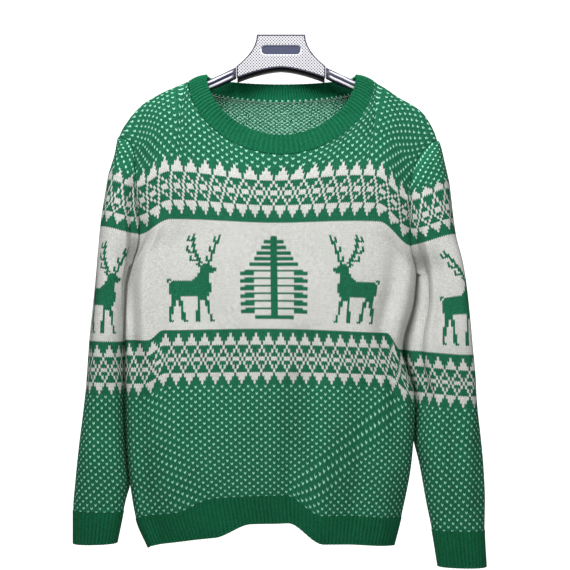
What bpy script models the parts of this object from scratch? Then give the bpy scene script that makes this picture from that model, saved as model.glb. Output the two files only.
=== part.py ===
# A knitted christmas sweater that hangs on a plated clothes hanger.
#
# Frame: +X to the right as seen from the front, +Y from the front to the back, +Z up.
# The origin is the middle of the hanger's top edge. Left and right are as seen from the front.
# Sizes are in millimetres until a mesh is made. Heights on the cloth are counted in knitted
# rows: row 0 is the top of the ribs, the side seams run up to the underarm, and above the
# chest row the cloth rises to its upper edge, so a height there is a share from 0 to 1.

import math

import bmesh
import bpy
import numpy as np

MM = 0.001

# Cloth
BODY_WALL = 2.6
RIB_WALL = 2.8
RIB_RELIEF = 0.9
SEAM_GAP = 0.3
NECK_SEAM_GAP = 0.6
SHARPEST_MITRE = 0.5
RIBS_PER_COLUMN = 2

# Heights, in rows
EDGE_ROW = -9.0
RIB_TOP_ROW = 0.0
UNDERARM_ROW = 67.0
CHEST_ROW = 88.0
TIP_ROW = 89.0
BODY_ROWS = (0, 7, 14, 21, 28, 35, 41, 47, 53, 59, 64, 67, 70, 75, 81, 88)
SLEEVE_ROWS = (0, 8, 16, 24, 33, 41, 49, 56, 60, 64, 67, 70, 75, 81, 88)
YOKE_SHARES = (0.22, 0.44, 0.65, 0.84, 0.95, 1.0)
RIB_ROWS = (EDGE_ROW, RIB_TOP_ROW)
CURVE_STEPS = 241

# Columns across each panel
NECK_COLUMNS = 26
SHOULDER_COLUMNS = 7
NECK_SHARE = 0.68
SLEEVE_COLUMNS = 20

# The body's levels. left and right are where a panel ends, front and back are its depths,
# and edge is how far a panel's edge stands from the middle plane. The row's line is at
# height, hangs lower by sag in the middle and by bow and step towards each side.
LEVEL_NAMES = ("row", "height", "left", "right", "front", "back", "edge", "sag",
               "bow_left", "step_left", "at_left", "bow_right", "step_right", "at_right")
BODY_LEVELS = (
    (-9, -682.5, -187, 159, 48, 44, 0, 0, 25, 15, 0.27, 9, 27, 0.25),
    (0, -643.5, -204, 169, 50, 46, 0, 0, 23, 15, 0.50, 9, 26, 0.235),
    (17, -565, -216, 184, 52, 47, 0, 0, 16, 12, 0.64, 12, 20, 0.50),
    (33, -487, -219, 189, 49, 46, 0, 0, 9, 12, 0.74, 12, 20, 0.74),
    (47, -412, -219, 171, 46, 45, 0, 0, 14, 14, 0.79, 16, 23, 0.83),
    (60, -341, -217, 187, 44, 44, 0, 2, 6, 14, 0.82, 10, 24, 0.84),
    (67, -303, -208, 190, 43, 43, 0, 4, 3, 18, 0.84, 6, 28, 0.85),
    (75, -259, -198, 182, 42, 41, 17, 6, 1, 22, 0.87, 7, 31, 0.86),
    (88, -190, -203.5, 179, 39, 38, 20, 14, 0, 22, 0.87, 12, 29, 0.87),
)
STEP_WIDTH = 0.26
SAG_REACH = 0.75
BACK_SAG = 0.5
FOLD_FADE = 0.7
PANEL_POWER = 2.6
FOLD_MARGIN = 0.1

# The largest folds of the body: a ridge is higher than the panel, a trough is lower. A fold
# runs from a place on its lower row to one on its upper row, and fades at both ends.
FOLD_NAMES = ("panel", "low_row", "low_at", "high_row", "high_at", "width", "rise")
BODY_FOLDS = (
    ("front", 24, -0.86, 74, -0.86, 0.060, 8.0),
    ("front", 18, -0.73, 72, -0.75, 0.055, -7.0),
    ("front", 28, 0.88, 74, 0.89, 0.055, 7.0),
    ("front", 14, 0.78, 72, 0.78, 0.055, -8.0),
    ("front", -16, 0.15, 36, 0.16, 0.085, -13.0),
    ("front", -16, 0.36, 34, 0.32, 0.100, 8.0),
    ("front", -12, 0.58, 40, 0.56, 0.075, -8.0),
    ("front", -16, -0.44, 34, -0.40, 0.170, 7.0),
    ("front", -10, -0.78, 22, -0.80, 0.080, -5.0),
    ("back", -16, -0.20, 44, -0.28, 0.100, -11.0),
    ("back", -16, 0.02, 40, 0.00, 0.120, 7.0),
    ("back", -14, 0.34, 52, 0.40, 0.085, -10.0),
    ("back", -14, -0.62, 30, -0.66, 0.080, -7.0),
    ("back", 20, 0.80, 72, 0.84, 0.060, -7.0),
    ("back", 24, -0.84, 72, -0.84, 0.060, 6.0),
    ("back", 64, -0.60, 86, -0.30, 0.110, -5.0),
    ("back", 60, 0.62, 86, 0.34, 0.110, -5.0),
)

# Neckline: half width, depths below the shoulder point, and how far it stands forward
NECK_MIDDLE = 0.5
NECK_HALF = 130.0
NECK_TOP = -65.0
NECK_POWER = 1.9
NECK_ROUND = 0.42
NECK_CROWDING = 1.15
FRONT_NECK_DEPTH = 105.0
FRONT_NECK_REACH = 35.0
BACK_NECK_DEPTH = 27.0
BACK_NECK_REACH = 27.0

# Neckband: the same values at its upper edge
BAND_HALF = 104.5
BAND_TOP = -56.0
FRONT_BAND_DEPTH = 87.0
FRONT_BAND_REACH = 31.0
BACK_BAND_DEPTH = 15.0
BACK_BAND_REACH = 21.0
BAND_CROWN = 2.0

# The shoulder line from the neck to the sleeve head, out from the middle and down
SHOULDER_NAMES = ("out", "down")
LEFT_SHOULDER = (
    (129.5, 65.0), (147.0, 72.5), (165.0, 80.0), (180.0, 88.0), (194.0, 96.5),
    (206.0, 107.5), (216.0, 120.0), (224.5, 133.0), (229.0, 143.0),
)
RIGHT_SHOULDER = (
    (130.5, 65.0), (149.5, 76.5), (166.5, 88.0), (184.0, 97.5), (198.5, 107.5),
    (208.0, 120.0), (216.0, 135.0), (220.5, 147.5),
)
SHOULDER_POWER = 0.36
LEFT_ARMHOLE_BEND = 4.6
RIGHT_ARMHOLE_BEND = 2.2
ARMHOLE_ZONE = 0.3
SHOULDER_LIFT = 0.25
NECK_BULGE = 7.0
NECK_BULGE_WIDTH = 0.2

# The sleeves' levels. inner and outer are the sleeve's sides, measured out from the middle,
# front and back are its depths, turn is the twist of its section in degrees, tuck is how far
# its back runs in behind the body, and the row's line runs from outer_height on the outside
# to inner_height beside the body.
SLEEVE_NAMES = ("row", "outer", "inner", "front", "back", "turn", "tuck",
                "outer_height", "inner_height")
LEFT_SLEEVE = (
    (-9, 292.5, 231.5, 24, 20, 0, 0, -716, -715),
    (0, 292.5, 222.5, 27, 23, 0, 0, -669, -670),
    (8, 289.5, 216.0, 32, 30, 0, 8, -630, -631),
    (17, 285.0, 219.5, 36, 38, 0, 11, -586, -587),
    (33, 275.0, 222.0, 38, 50, 0, 11, -502, -503),
    (47, 270.0, 222.0, 39, 58, 0, 11, -429, -430),
    (60, 262.0, 220.0, 39, 62, 0, 10, -352, -356),
    (67, 258.0, 213.0, 38, 60, 0, 8, -313, -323),
    (75, 254.0, 198.5, 38, 52, 0, 1, -269, -279),
    (88, 243.0, 199.0, 36, 40, 0, 0, -198, -210),
    (88.5, 233.5, 207.0, 27, 29, 0, 0, -166, -174),
    (88.8, 231.0, 215.0, 17, 18, 0, 0, -151, -155),
    (88.95, 230.0, 224.0, 9.5, 10, 0, 0, -145.5, -146),
    (89, 230.5, 227.5, 4, 4, 0, 0, -144, -143),
)
RIGHT_SLEEVE = (
    (-9, 289.0, 221.5, 22, 18, 0, 0, -749, -748),
    (0, 286.5, 213.0, 25, 22, 0, 0, -697, -696),
    (8, 287.0, 204.5, 29, 28, 0, 0, -655, -654),
    (17, 284.5, 196.5, 34, 36, 6, 2, -608, -606),
    (25, 280.5, 189.5, 35.5, 42, 16, 4, -565, -562),
    (33, 276.0, 189.5, 37, 48, 22, 5, -522, -518),
    (47, 268.5, 169.5, 38, 54, 34, 0, -448, -443),
    (60, 260.0, 187.0, 39, 56, 26, 5, -362, -372),
    (67, 254.5, 189.5, 38, 54, 22, 5, -324, -336),
    (75, 245.0, 181.5, 38, 50, 6, 1, -280, -294),
    (88, 237.0, 178.0, 36, 40, 0, 0, -210, -228),
    (88.5, 229.5, 189.0, 27, 29, 0, 0, -176, -189),
    (88.8, 225.0, 205.0, 17, 18, 0, 0, -157, -163),
    (88.95, 222.5, 216.5, 9.5, 10, 0, 0, -150, -152),
    (89, 222.0, 219.0, 4, 4, 0, 0, -149, -148),
)
SLEEVE_POWER = 2.3
TUCK_FROM = 0.1
TUCK_OVER = 0.6
ARMHOLE_PULL = 10
WIDEST_OPENING = 0.95
SLEEVE_FOLD_NAMES = ("low_row", "low_at", "high_row", "high_at", "width", "rise")
LEFT_SLEEVE_FOLDS = (
    (-2, -0.62, 40, -0.58, 0.10, -4.0),
    (30, -0.30, 66, -0.36, 0.09, -3.5),
    (40, 0.45, 78, 0.40, 0.10, -4.5),
    (2, 0.30, 44, 0.36, 0.12, -4.0),
)
RIGHT_SLEEVE_FOLDS = (
    (-2, -0.50, 44, -0.56, 0.09, -5.0),
    (2, -0.20, 40, -0.26, 0.08, -3.0),
    (36, 0.40, 76, 0.44, 0.11, -4.5),
    (0, 0.36, 34, 0.30, 0.10, -4.0),
)

# Hanger
PLATE_TOP_HALF = 34.0
PLATE_BASE_HALF = 62.5
PLATE_SIDE_DROP = 44.5
PLATE_ARM_FOOT = 61.0
PLATE_MIDDLE = 46.0
PLATE_WAIST = 2.0
PLATE_ARCH = 1.6
PLATE_FRONT = -9.0
PLATE_THICK = 4.0
CORE_BACK = 9.0
CORE_RIM = 5.0
CORE_INSET = 1.0
RECESS_LEFT = -27.5
RECESS_RIGHT = 27.5
RECESS_TOP = -15.5
RECESS_BASE = -28.0
RECESS_DEPTH = 1.0
ARM_GAP = 0.8
ARM_SIDES = 16
ARM_NAMES = ("out", "height", "depth")
ARM_SECTIONS = (
    (63.2, 17.0, 14.0), (84.0, 17.0, 13.0), (104.0, 15.5, 12.0), (126.0, 14.5, 11.5),
    (146.0, 14.5, 12.5), (160.0, 14.0, 12.5), (173.0, 13.0, 12.0), (184.0, 12.0, 11.0),
    (192.0, 10.0, 9.0), (197.5, 6.0, 5.5),
)
ARM_ROOT_TOP = -44.5
ARM_VISIBLE_OUT = 104.0
ARM_VISIBLE_TOP = -63.5
ARM_CONTACT_OUT = 150.0

SHARP_DEGREES = 40.0

# Colour (linear), roughness and metallic value of each material
MATERIALS = {
    "jacquard_knit": ((0.030, 0.150, 0.075), 0.95, 0.0),
    "rib_knit": ((0.010, 0.090, 0.038), 0.95, 0.0),
    "plated_shell": ((0.62, 0.61, 0.64), 0.18, 1.0),
    "black_core": ((0.012, 0.012, 0.014), 0.45, 0.0),
}


def column(table, names, name):
    """One named column of a table."""
    return np.array([line[names.index(name)] for line in table], dtype=float)


def smooth_line(xs, ys, at):
    """A smooth line through a table's points that never overshoots them."""
    steps = np.diff(ys) / np.diff(xs)
    slopes = np.concatenate(([steps[0]], np.zeros(len(xs) - 2), [steps[-1]]))
    same = steps[:-1] * steps[1:] > 0
    both = np.where(same, steps[:-1] + steps[1:], 1.0)
    slopes[1:-1] = np.where(same, 2 * steps[:-1] * steps[1:] / both, 0.0)
    at = np.clip(at, xs[0], xs[-1])
    k = np.clip(np.searchsorted(xs, at) - 1, 0, len(xs) - 2)
    wide = xs[k + 1] - xs[k]
    t = (at - xs[k]) / wide
    rise = ys[k] * (1 + 2 * t) * (1 - t) ** 2 + ys[k + 1] * t ** 2 * (3 - 2 * t)
    return rise + wide * (slopes[k] * t * (1 - t) ** 2 - slopes[k + 1] * t ** 2 * (1 - t))


def level(table, names, row):
    """Every column of a table of levels, read at one row."""
    rows = column(table, names, "row")
    return {name: smooth_line(rows, column(table, names, name), row) for name in names[1:]}


def ease(t):
    """0 below 0, 1 above 1 and a soft step between."""
    t = np.clip(t, 0.0, 1.0)
    return t * t * (3 - 2 * t)


def fold_rise(folds, names, row, share):
    """How far the folds lift the cloth at one row, for places across it."""
    total = np.zeros_like(share)
    for fold in folds:
        value = dict(zip(names, fold))
        along = (row - value["low_row"]) / (value["high_row"] - value["low_row"])
        if 0.0 < along < 1.0:
            middle = value["low_at"] + (value["high_at"] - value["low_at"]) * along
            fade = math.sin(math.pi * along) ** FOLD_FADE
            spread = (share - middle) / value["width"]
            total += value["rise"] * fade * np.exp(-spread * spread)
    return total * ease((1 - np.abs(share)) / FOLD_MARGIN)


def even_shares(x, y, share):
    """Points at the given shares, -1 to 1, of a plan curve's length."""
    length = np.concatenate(([0.0], np.cumsum(np.hypot(np.diff(x), np.diff(y)))))
    at = (share + 1) / 2 * length[-1]
    return np.interp(at, length, x), np.interp(at, length, y)


def panel_row(panel, row, share):
    """Points of the front or back panel along a row up to the chest."""
    v = level(BODY_LEVELS, LEVEL_NAMES, row)
    depth = v[panel]
    end = math.acos((v["edge"] / depth) ** (PANEL_POWER / 2))
    turn = np.linspace(-end, end, CURVE_STEPS)
    reach = np.sign(turn) * np.abs(np.sin(turn)) ** (2 / PANEL_POWER)
    half = (v["right"] - v["left"]) / 2
    x = (v["left"] + v["right"]) / 2 + half * reach / reach[-1]
    y = depth * np.cos(turn) ** (2 / PANEL_POWER)
    x, y = even_shares(x, y, share)
    folds = [fold[1:] for fold in BODY_FOLDS if fold[0] == panel]
    y = y + fold_rise(folds, FOLD_NAMES[1:], row, share)
    z = v["height"] - row_hang(v, panel, share)
    return np.stack((x, y if panel == "back" else -y, z), axis=-1)


def row_hang(v, panel, share):
    """How far a row of the body hangs below its highest point."""
    wide = np.abs(share)
    left = share < 0
    bow = np.where(left, v["bow_left"], v["bow_right"]) * wide ** 2
    at = np.where(left, v["at_left"], v["at_right"])
    step = np.where(left, v["step_left"], v["step_right"])
    sag = v["sag"] * (BACK_SAG if panel == "back" else 1.0) * (1 - ease(wide / SAG_REACH))
    low = at - STEP_WIDTH / 2
    return bow + step * ease((wide - low) / STEP_WIDTH) + sag


def shoulder_point(side, share):
    """Points of the shoulder line, from the neck at 0 to the sleeve head at 1."""
    table = LEFT_SHOULDER if side < 0 else RIGHT_SHOULDER
    out = column(table, SHOULDER_NAMES, "out")
    down = column(table, SHOULDER_NAMES, "down")
    length = np.concatenate(([0.0], np.cumsum(np.hypot(np.diff(out), np.diff(down)))))
    at = np.asarray(share) * length[-1]
    x = side * smooth_line(length, out, at)
    return np.stack((x, np.zeros_like(x), -smooth_line(length, down, at)), axis=-1)


def neck_curve(share, half, top, depth, reach, panel):
    """Points of the neckline, or of the neckband's upper edge, for shares -1 to 1."""
    crowded = 1 - (1 - np.abs(share)) ** NECK_CROWDING
    across = np.sign(share) * np.sin(crowded * math.pi / 2)
    dip = (1 - np.abs(across) ** NECK_POWER) ** (1 / NECK_POWER)
    y = reach * dip ** NECK_ROUND
    return np.stack((NECK_MIDDLE + half * across, y if panel == "back" else -y,
                     top - depth * dip), axis=-1)


def panel_top(panel, share):
    """The panel's upper edge: the neckline between the two shoulder lines."""
    depth, reach = ((BACK_NECK_DEPTH, BACK_NECK_REACH) if panel == "back"
                    else (FRONT_NECK_DEPTH, FRONT_NECK_REACH))
    inside = np.clip(share / NECK_SHARE, -1, 1)
    points = neck_curve(inside, NECK_HALF, NECK_TOP, depth, reach, panel)
    for side in (-1, 1):
        there = side * share >= NECK_SHARE
        along = (side * share[there] - NECK_SHARE) / (1 - NECK_SHARE)
        points[there] = shoulder_point(side, along)
    return points


def panel_yoke(panel, rise, share):
    """Points of a panel above the chest row, rise being 0 there and 1 at its upper edge."""
    low = panel_row(panel, CHEST_ROW, share)
    top = panel_top(panel, share)
    bend = np.where(share < 0, LEFT_ARMHOLE_BEND, RIGHT_ARMHOLE_BEND)
    bend = 1 + (bend - 1) * ease((np.abs(share) - 1 + ARMHOLE_ZONE) / ARMHOLE_ZONE)
    points = low + (top - low) * (rise ** bend)[:, None]
    near = np.exp(-((np.abs(share) - NECK_SHARE) / NECK_BULGE_WIDTH) ** 2)
    points[:, 0] += 4 * rise * (1 - rise) * NECK_BULGE * near * np.sign(share)
    neck = np.abs(top[:, 1]) / np.abs(low[:, 1]).max()
    power = SHOULDER_POWER + (1 - SHOULDER_POWER) * neck
    points[:, 1] = top[:, 1] + (low[:, 1] - top[:, 1]) * (1 - rise) ** power
    lift = 1 - (1 - rise) ** (1 + SHOULDER_LIFT * (1 - neck))
    points[:, 2] = low[:, 2] + (top[:, 2] - low[:, 2]) * lift
    return points


def sleeve_section(side, row, share):
    """Points round a sleeve: -1 to 0 is its front half and 0 its outer side."""
    table = LEFT_SLEEVE if side < 0 else RIGHT_SLEEVE
    v = level(table, SLEEVE_NAMES, row)
    edge = level(BODY_LEVELS, LEVEL_NAMES, min(row, CHEST_ROW))["edge"]
    if row > CHEST_ROW:
        edge = edge * math.sqrt(max(TIP_ROW - row, 0.0))
    mean = (v["front"] + v["back"]) / 2
    end = math.pi - math.asin(min(edge / mean, WIDEST_OPENING) ** (SLEEVE_POWER / 2))
    angle = np.linspace(-end, end, CURVE_STEPS)
    power = 2 / SLEEVE_POWER
    across = np.sign(np.cos(angle)) * np.abs(np.cos(angle)) ** power
    deep = np.sign(np.sin(angle)) * np.abs(np.sin(angle)) ** power
    twist = math.radians(v["turn"])
    x = across * math.cos(twist) - deep * math.sin(twist) * mean / (v["outer"] - v["inner"]) * 2
    y = deep
    low, high = x.min(), x.max()
    x = v["inner"] + (x - low) / (high - low) * (v["outer"] - v["inner"])
    x = x - v["tuck"] * ease((deep - TUCK_FROM) / TUCK_OVER) * (1 - across) / 2
    y = np.where(y < 0, y * v["front"], y * v["back"])
    x, y = even_shares(x, y, share)
    folds = LEFT_SLEEVE_FOLDS if side < 0 else RIGHT_SLEEVE_FOLDS
    bump = fold_rise(folds, SLEEVE_FOLD_NAMES, row, share)
    outward = np.stack((x - (v["outer"] + v["inner"]) / 2, y), axis=-1)
    outward /= np.linalg.norm(outward, axis=1)[:, None]
    x, y = x + outward[:, 0] * bump, y + outward[:, 1] * bump
    inside = ease((v["outer"] - x) / (v["outer"] - v["inner"]))
    z = v["outer_height"] + (v["inner_height"] - v["outer_height"]) * inside
    return np.stack((side * x, y, z), axis=-1)


def armhole_point(panel, side, row):
    """The point where a panel's edge meets the sleeve, from the underarm to the shoulder."""
    edge = np.array([float(side)])
    if row <= CHEST_ROW:
        return panel_row(panel, row, edge)[0]
    return panel_yoke(panel, row - CHEST_ROW, edge)[0]


def sleeve_row(side, row, share):
    """Points round a sleeve, joined to the armhole from the underarm up."""
    points = sleeve_section(side, row, share)
    if row >= TIP_ROW:
        points[:] = armhole_point("front", side, row)
    elif row >= UNDERARM_ROW:
        for end, panel in ((0, "front"), (-1, "back")):
            miss = armhole_point(panel, side, row) - points[end]
            near = np.clip(-share if end == 0 else share, 0, 1) ** ARMHOLE_PULL
            points = points + near[:, None] * miss
    return points


class Skin:
    """The whole garment's outer surface, with the points that pieces share at their seams."""

    def __init__(self):
        self.points = []
        self.index = {}
        self.faces = {}
        self.between = {}
        self.relief = {}
        self.underarms = []

    def point(self, place):
        """The number of the point at a place, which is new only the first time."""
        key = tuple(np.round(np.asarray(place) * 1000).astype(int))
        if key not in self.index:
            self.index[key] = len(self.points)
            self.points.append(np.array(place, dtype=float))
        return self.index[key]

    def grid(self, name, rows, flip=False):
        """Faces between rows of points, going up, with their columns running to +X in front."""
        numbers = [[self.point(place) for place in row] for row in rows]
        faces = self.faces.setdefault(name, [])
        for low, high in zip(numbers[:-1], numbers[1:]):
            for i in range(len(low) - 1):
                ring = [low[i], low[i + 1], high[i + 1], high[i]]
                ring = [n for k, n in enumerate(ring) if n != ring[k - 1]]
                if len(set(ring)) > 2:
                    faces.append(ring[::-1] if flip else ring)
        return numbers

    def facing(self, names):
        """The sum of the face normals at every point, over the named pieces."""
        total = np.zeros((len(self.points), 3))
        for name in names:
            for ring in self.faces[name]:
                start = self.points[ring[0]]
                for second, third in zip(ring[1:-1], ring[2:]):
                    total[ring] += np.cross(self.points[second] - start, self.points[third] - start)
        return total

    def normals(self):
        """The outward direction at every point for the sleeves' pieces and for the others.

        Pieces that meet share it, but at the underarm the sleeve and the body each keep
        their own, because their faces look at each other there.
        """
        families = {"sleeve": [name for name in self.faces if is_sleeve(name)],
                    "body": [name for name in self.faces if not is_sleeve(name)]}
        own = {family: np.array([unit(n) for n in self.facing(names)])
               for family, names in families.items()}
        shared = np.array([unit(n) for n in own["sleeve"] + own["body"]])
        for number, (first, last, share) in self.between.items():
            shared[number] = shared[first] * (1 - share) + shared[last] * share
        for normals in own.values():
            kept = normals[self.underarms]
            normals[:] = shared
            normals[self.underarms] = kept
        return own


def is_sleeve(name):
    """Whether a piece belongs to a sleeve."""
    return name.startswith(("sleeve", "cuff"))


def unit(vector):
    """A vector of length 1."""
    return vector / max(float(np.linalg.norm(vector)), 1e-9)


def seam_shift(points, faces, back):
    """How far each edge point of a piece moves to draw its edges back from the seams."""
    edges = {(a, b) for ring in faces for a, b in zip(ring, ring[1:] + ring[:1])}
    open_edges = [(a, b) for a, b in sorted(edges) if (b, a) not in edges]
    facing = {}
    for ring in faces:
        normal = np.cross(points[ring[1]] - points[ring[0]], points[ring[-1]] - points[ring[0]])
        for number in ring:
            facing[number] = facing.get(number, 0.0) + normal
    pulls = {}
    for a, b in open_edges:
        along = unit(points[b] - points[a])
        for number in (a, b):
            pulls.setdefault(number, []).append(unit(np.cross(unit(facing[number]), along)))
    shift = {}
    for number, pull in pulls.items():
        total = np.sum(pull, axis=0)
        mitre = max(1 + float(np.dot(pull[0], pull[-1])), SHARPEST_MITRE)
        shift[number] = total / (mitre if len(pull) > 1 else 1.0) * back
    return shift, open_edges


def shell(skin, normals, name, wall):
    """The closed solid of one piece: its outer face, its inner face and the cut edges."""
    faces = skin.faces[name]
    relief = skin.relief.get(name, {})
    back = (NECK_SEAM_GAP if name == "neckband" else SEAM_GAP) - SEAM_GAP / 2
    shift, open_edges = seam_shift(skin.points, faces, back)
    used = sorted({number for ring in faces for number in ring})
    mesh = bmesh.new()
    outer = {}
    inner = {}
    for number in used:
        place = skin.points[number] + shift.get(number, 0.0)
        if number in skin.underarms:
            place = place - normals[number] * SEAM_GAP / 2
        lifted = place + normals[number] * relief.get(number, 0.0)
        outer[number] = mesh.verts.new(lifted * MM)
        inner[number] = mesh.verts.new((place - normals[number] * wall) * MM)
    for ring in faces:
        mesh.faces.new([outer[n] for n in ring])
        mesh.faces.new([inner[n] for n in reversed(ring)])
    for a, b in open_edges:
        if a < b:
            mesh.faces.new([outer[b], outer[a], inner[b]])
            mesh.faces.new([outer[a], inner[a], inner[b]])
        else:
            mesh.faces.new([outer[b], outer[a], inner[a]])
            mesh.faces.new([outer[b], inner[a], inner[b]])
    return mesh


def rib_grid(skin, name, columns, rows):
    """A ribbed strip: rows is a function of the share across, high for every other point."""
    shares = rib_shares(columns)
    coarse = np.repeat(np.arange(len(columns) - 1), RIBS_PER_COLUMN * 2)
    grid = [rows(shares, k) for k in range(len(RIB_ROWS))]
    seam = len(RIB_ROWS) - 1
    corners = rows(np.asarray(columns), seam)
    share = np.append(np.tile(np.arange(RIBS_PER_COLUMN * 2) / (RIBS_PER_COLUMN * 2),
                              len(columns) - 1), 0.0)
    first = np.append(coarse, len(columns) - 1)
    last = np.minimum(first + 1, len(columns) - 1)
    grid[seam] = corners[first] + (corners[last] - corners[first]) * share[:, None]
    numbers = skin.grid(name, grid)
    ends = [skin.point(place) for place in corners]
    for k, number in enumerate(numbers[seam]):
        if share[k] > 0:
            skin.between[number] = (ends[first[k]], ends[last[k]], share[k])
    height = skin.relief.setdefault(name, {})
    for row in numbers:
        for k, number in enumerate(row):
            height[number] = RIB_RELIEF if k % 2 else 0.0
    return numbers


def rib_shares(columns):
    """Shares across for the ribs' crests and valleys, a few to each column of the panel."""
    fine = np.arange((len(columns) - 1) * RIBS_PER_COLUMN * 2 + 1) / (RIBS_PER_COLUMN * 2)
    return np.interp(fine, np.arange(len(columns)), columns)


def panel_columns():
    """Shares across a panel, with one on each end of the neckline."""
    neck = np.linspace(-NECK_SHARE, NECK_SHARE, NECK_COLUMNS + 1)
    left = np.linspace(-1, -NECK_SHARE, SHOULDER_COLUMNS + 1)[:-1]
    return np.concatenate((left, neck, -left[::-1]))


def add_panel(skin, panel):
    """The front or back panel, from its rib to the neckline and the shoulders."""
    columns = panel_columns()
    rows = [panel_row(panel, row, columns) for row in BODY_ROWS]
    rows += [panel_yoke(panel, rise, columns) for rise in YOKE_SHARES]
    back = panel == "back"
    skin.grid(panel, rows, flip=back)

    def rib_line(shares, k):
        return panel_row(panel, RIB_ROWS[k], shares)

    rib_name = "hem_rib_" + panel
    rib_grid(skin, rib_name, columns, rib_line)
    if back:
        skin.faces[rib_name] = [ring[::-1] for ring in skin.faces[rib_name]]


def add_sleeve(skin, name, cuff, side):
    """A sleeve, open along the armhole above the underarm, and its ribbed cuff."""
    columns = np.linspace(-1, 1, SLEEVE_COLUMNS + 1)
    rows = [sleeve_row(side, row, columns) for row in SLEEVE_ROWS]
    rows += [sleeve_row(side, CHEST_ROW + rise, columns) for rise in YOKE_SHARES]
    numbers = skin.grid(name, rows, flip=side < 0)
    skin.underarms.append(numbers[SLEEVE_ROWS.index(int(UNDERARM_ROW))][0])

    def rib_line(shares, k):
        return sleeve_row(side, RIB_ROWS[k], shares)

    rib_grid(skin, cuff, columns, rib_line)
    if side < 0:
        skin.faces[cuff] = [ring[::-1] for ring in skin.faces[cuff]]


def add_neckband(skin):
    """The rib round the neck, from the neckline to its upper edge, front and back."""
    for panel in ("front", "back"):
        columns = np.linspace(-1, 1, NECK_COLUMNS + 1)
        depth, reach, band_depth, band_reach = (
            (BACK_NECK_DEPTH, BACK_NECK_REACH, BACK_BAND_DEPTH, BACK_BAND_REACH)
            if panel == "back" else
            (FRONT_NECK_DEPTH, FRONT_NECK_REACH, FRONT_BAND_DEPTH, FRONT_BAND_REACH))

        def rib_line(shares, k, depth=depth, reach=reach, panel=panel,
                     band_depth=band_depth, band_reach=band_reach):
            low = neck_curve(shares, NECK_HALF, NECK_TOP, depth, reach, panel)
            high = neck_curve(shares, BAND_HALF, BAND_TOP, band_depth, band_reach, panel)
            rise = (RIB_ROWS[k] - RIB_TOP_ROW) / (EDGE_ROW - RIB_TOP_ROW)
            points = low + (high - low) * rise
            points[:, 2] += BAND_CROWN * math.sin(math.pi * rise)
            return points

        before = len(skin.faces.get("neckband", []))
        rib_grid(skin, "neckband", columns, rib_line)
        if panel == "front":
            faces = skin.faces["neckband"]
            faces[before:] = [ring[::-1] for ring in faces[before:]]


def material(name):
    """A Principled material in the part's own colour."""
    colour, roughness, metallic = MATERIALS[name]
    made = bpy.data.materials.new(name)
    made.use_nodes = True
    shader = made.node_tree.nodes["Principled BSDF"]
    shader.inputs["Base Color"].default_value = (*colour, 1.0)
    shader.inputs["Roughness"].default_value = roughness
    shader.inputs["Metallic"].default_value = metallic
    return made


def place(mesh, name, made, parent):
    """Put a finished mesh in the scene as one named object."""
    data = bpy.data.meshes.new(name)
    bmesh.ops.recalc_face_normals(mesh, faces=mesh.faces)
    mesh.to_mesh(data)
    mesh.free()
    data.materials.append(made)
    data.shade_smooth()
    data.set_sharp_from_angle(angle=math.radians(SHARP_DEGREES))
    piece = bpy.data.objects.new(name, data)
    piece.parent = parent
    bpy.context.scene.collection.objects.link(piece)
    return piece


def plate_side(side, count=6):
    """The plate's waisted side, from its top corner down to the arm."""
    points = []
    for k in range(count + 1):
        t = k / count
        out = PLATE_TOP_HALF + (PLATE_BASE_HALF - PLATE_TOP_HALF) * t ** PLATE_WAIST
        points.append((side * out, -PLATE_SIDE_DROP * t))
    return points


def plate_arch(count=14, rim=0.0):
    """The plate's arched lower edge, from the left arm to the right one."""
    points = []
    for k in range(count + 1):
        t = -1 + 2 * k / count
        drop = PLATE_MIDDLE + (PLATE_ARM_FOOT - PLATE_MIDDLE) * abs(t) ** PLATE_ARCH + rim
        points.append((PLATE_BASE_HALF * t, -drop))
    return points


def prism(outline, front, back):
    """A flat plate with the given outline in X and Z, between two depths."""
    mesh = bmesh.new()
    near = [mesh.verts.new((x * MM, front * MM, z * MM)) for x, z in outline]
    far = [mesh.verts.new((x * MM, back * MM, z * MM)) for x, z in outline]
    mesh.faces.new(near)
    mesh.faces.new(far[::-1])
    for k in range(len(outline)):
        after = (k + 1) % len(outline)
        mesh.faces.new([near[after], near[k], far[k], far[after]])
    return mesh


def slot(left, right, base, top, count=6):
    """A slot with round ends, as an outline in X and Z."""
    radius = (top - base) / 2
    points = []
    for middle, start in ((right - radius, -90), (left + radius, 90)):
        for k in range(count + 1):
            angle = math.radians(start + 180 * k / count)
            points.append((middle + radius * math.cos(angle),
                           base + radius + radius * math.sin(angle)))
    return points


def add_hanger(parent, plated, black):
    """The plated plate with its bare recess, the black core behind it and the two arms."""
    outline = plate_side(-1)[::-1] + plate_side(1) + plate_arch()[::-1]
    plate = place(prism(outline, PLATE_FRONT, PLATE_FRONT + PLATE_THICK), "hanger_plate",
                  plated, parent)
    hole = prism(slot(RECESS_LEFT, RECESS_RIGHT, RECESS_BASE, RECESS_TOP),
                 PLATE_FRONT - RECESS_DEPTH, PLATE_FRONT + RECESS_DEPTH)
    cutter = place(hole, "recess_cutter", plated, parent)
    cutter.hide_render = True
    cutter.display_type = "WIRE"
    cut = plate.modifiers.new("recess", "BOOLEAN")
    cut.operation = "DIFFERENCE"
    cut.solver = "EXACT"
    cut.object = cutter

    narrow = 1 - CORE_INSET / PLATE_BASE_HALF
    core = [(x * narrow, z - CORE_INSET) for x, z in plate_side(-1)[::-1] + plate_side(1)]
    core += [(x * narrow, z) for x, z in plate_arch(rim=CORE_RIM)[::-1]]
    place(prism(core, PLATE_FRONT + PLATE_THICK + SEAM_GAP, CORE_BACK), "hanger_core",
          black, parent)
    for side, name in ((-1, "hanger_arm_left"), (1, "hanger_arm_right")):
        place(arm(side), name, plated, parent)


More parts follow.
